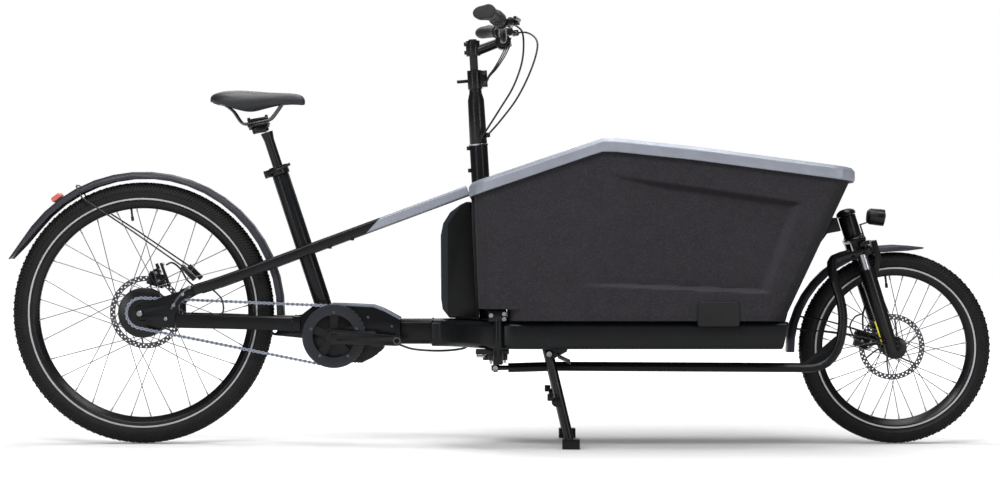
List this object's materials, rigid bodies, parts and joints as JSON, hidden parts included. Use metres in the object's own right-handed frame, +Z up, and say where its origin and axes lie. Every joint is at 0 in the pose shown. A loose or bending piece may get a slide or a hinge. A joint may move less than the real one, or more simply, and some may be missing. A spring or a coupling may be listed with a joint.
{
  "type": "cargo bicycle",
  "caption": "Long-john cargo bicycle: a foam cargo box on a low frame between the rider and a small front wheel steered by a push rod, with a mid motor, a twin-leg stand and fenders.",
  "frame": {"origin": "on the ground in the bicycle's middle plane, half way between its rearmost and foremost points", "axes": "+X forward, +Y to the rider's left, +Z up"},
  "size_m": [2.6414, 0.6882, 1.1528],
  "materials": {
    "satin_black": "satin powder coat",
    "charcoal_foam": "expanded foam with a fine bead texture",
    "grey_rim_plastic": "satin moulded plastic",
    "tyre_rubber": "treaded rubber with a pale reflective stripe",
    "black_rubber": "matt",
    "black_anodised": "satin black anodised",
    "bright_steel": "bright",
    "chain_steel": "oiled",
    "slate_plastic": "satin",
    "black_plastic": "matt",
    "fender_plastic": "matt",
    "red_lens": "clear red",
    "saddle_cover": "matt synthetic leather"
  },
  "bodies": {
    "frame": {"seat_tube": "satin_black", "seat_clamp": "black_anodised", "upper_tube_right": "satin_black", "upper_tube_left": "satin_black", "chainstay_right": "satin_black", "chainstay_left": "satin_black", "motor_cradle": "satin_black", "drive_motor": "black_plastic", "main_beam": "satin_black", "rear_crossmember": "satin_black", "steering_head_tube": "satin_black", "cargo_rail_right": "satin_black", "cargo_rail_left": "satin_black", "gooseneck": "satin_black", "front_head_tube": "satin_black", "battery": "black_plastic", "battery_cover": "slate_plastic", "cargo_box": "charcoal_foam", "box_rim": "grey_rim_plastic", "rear_fender": "fender_plastic", "rear_fender_stay": "black_anodised", "rear_light": "red_lens", "rear_brake_caliper": "black_anodised", "chain": "chain_steel", "kickstand_bracket": "satin_black"},
    "crank": {"chainring": "black_anodised", "chainring_guard": "slate_plastic", "crank_arm_right": "black_anodised", "crank_arm_left": "black_anodised"},
    "rear_wheel": {"rear_tyre": "tyre_rubber", "rear_rim": "black_anodised", "rear_spokes": "bright_steel", "rear_hub": "black_anodised", "rear_brake_disc": "bright_steel"},
    "seat": {"seatpost": "black_anodised", "saddle": "saddle_cover"},
    "seat_lever": {"seat_clamp_lever": "black_anodised"},
    "steering": {"steering_column": "black_anodised"},
    "mast_lever": {"mast_clamp_lever": "black_anodised"},
    "handlebar": {"stem": "black_anodised", "handlebar": "black_anodised", "grip_right": "black_rubber", "grip_left": "black_rubber", "rear_brake_hose": "black_rubber", "front_brake_hose": "black_rubber", "control_cables": "black_rubber"},
    "twist_shifter": {"twist_shifter": "black_rubber"},
    "brake_lever_right": {"brake_lever_right": "black_anodised"},
    "brake_lever_left": {"brake_lever_left": "black_anodised"},
    "rod_joint": {"rod_joint": "black_anodised"},
    "push_rod": {"push_rod": "satin_black"},
    "fork_upper": {"fork_crown": "black_anodised", "headlight": "black_plastic"},
    "fork_lower": {"fork_lowers": "black_anodised", "front_fender": "fender_plastic"},
    "front_wheel": {"front_tyre": "tyre_rubber", "front_rim": "black_anodised", "front_spokes": "bright_steel", "front_brake_disc": "bright_steel"},
    "kickstand": {"kickstand": "black_anodised"}
  },
  "joints": [
    {"name": "rear_wheel_spin", "type": "hinge", "parent": "frame", "child": "rear_wheel", "pos_m": [-0.96, 0, 0.352], "axis": [0, 1, 0], "continuous": true},
    {"name": "crank_spin", "type": "hinge", "parent": "frame", "child": "crank", "pos_m": [-0.4445, 0, 0.29], "axis": [0, 1, 0], "continuous": true},
    {"name": "seat_height", "type": "slide", "parent": "frame", "child": "seat", "axis": [-0.3123, 0, 0.95], "range_m": [-0.08, 0.12]},
    {"name": "seat_lever_swing", "type": "hinge", "parent": "frame", "child": "seat_lever", "pos_m": [-0.62724, -0.023, 0.72516], "axis": [0.3123, 0, -0.95], "range_deg": [0, 140]},
    {"name": "steering_turn", "type": "hinge", "parent": "frame", "child": "steering", "pos_m": [-0.0231, 0, 0.2], "axis": [-0.0576, 0, 0.9983], "range_deg": [-30, 30]},
    {"name": "mast_lever_swing", "type": "hinge", "parent": "steering", "child": "mast_lever", "pos_m": [-0.04421, 0.0245, 0.98308], "axis": [0.0576, 0, -0.9983], "range_deg": [0, 140]},
    {"name": "handlebar_height", "type": "slide", "parent": "steering", "child": "handlebar", "axis": [-0.0576, 0, 0.9983], "range_m": [-0.02, 0.1]},
    {"name": "shifter_twist", "type": "hinge", "parent": "handlebar", "child": "twist_shifter", "pos_m": [-0.00074, -0.195, 1.12382], "axis": [-0.2032, -0.9751, 0.0887], "range_deg": [-30, 60]},
    {"name": "right_brake_pull", "type": "hinge", "parent": "handlebar", "child": "brake_lever_right", "pos_m": [0.04403, -0.182, 1.12039], "axis": [0.0576, 0, -0.9983], "range_deg": [0, 16], "stiffness_Nm_per_rad": 1, "springref_deg": -14.32},
    {"name": "left_brake_pull", "type": "hinge", "parent": "handlebar", "child": "brake_lever_left", "pos_m": [0.04403, 0.182, 1.12039], "axis": [-0.0576, 0, 0.9983], "range_deg": [0, 16], "stiffness_Nm_per_rad": 1, "springref_deg": -14.32},
    {"name": "rod_joint_turn", "type": "hinge", "parent": "steering", "child": "rod_joint", "pos_m": [-0.01226, -0.10741, 0.20814], "axis": [-0.0576, 0, 0.9983], "range_deg": [-30, 30]},
    {"name": "push_rod_tilt", "type": "hinge", "parent": "rod_joint", "child": "push_rod", "pos_m": [-0.01226, -0.10741, 0.20814], "axis": [0, 1, 0], "range_deg": [-1, 1]},
    {"name": "fork_turn", "type": "hinge", "parent": "frame", "child": "fork_upper", "pos_m": [1.046, 0, 0.258], "axis": [-0.3007, 0, 0.9537], "range_deg": [-30, 30]},
    {"name": "fork_travel", "type": "slide", "parent": "fork_upper", "child": "fork_lower", "axis": [-0.3007, 0, 0.9537], "range_m": [0, 0.02], "stiffness_N_per_m": 15000, "springref_m": -0.03},
    {"name": "front_wheel_spin", "type": "hinge", "parent": "fork_lower", "child": "front_wheel", "pos_m": [1.0627, 0, 0.258], "axis": [0, 1, 0], "continuous": true},
    {"name": "kickstand_fold", "type": "hinge", "parent": "frame", "child": "kickstand", "pos_m": [0.128, 0, 0.2506], "axis": [0, 1, 0], "range_deg": [0, 75]}
  ],
  "couplings": [
    {"joint": "rod_joint_turn", "follows": "steering_turn", "ratio": -1},
    {"joint": "push_rod_tilt", "follows": "steering_turn", "ratio": -0.0243},
    {"joint": "fork_turn", "follows": "steering_turn", "ratio": 1}
  ]
}
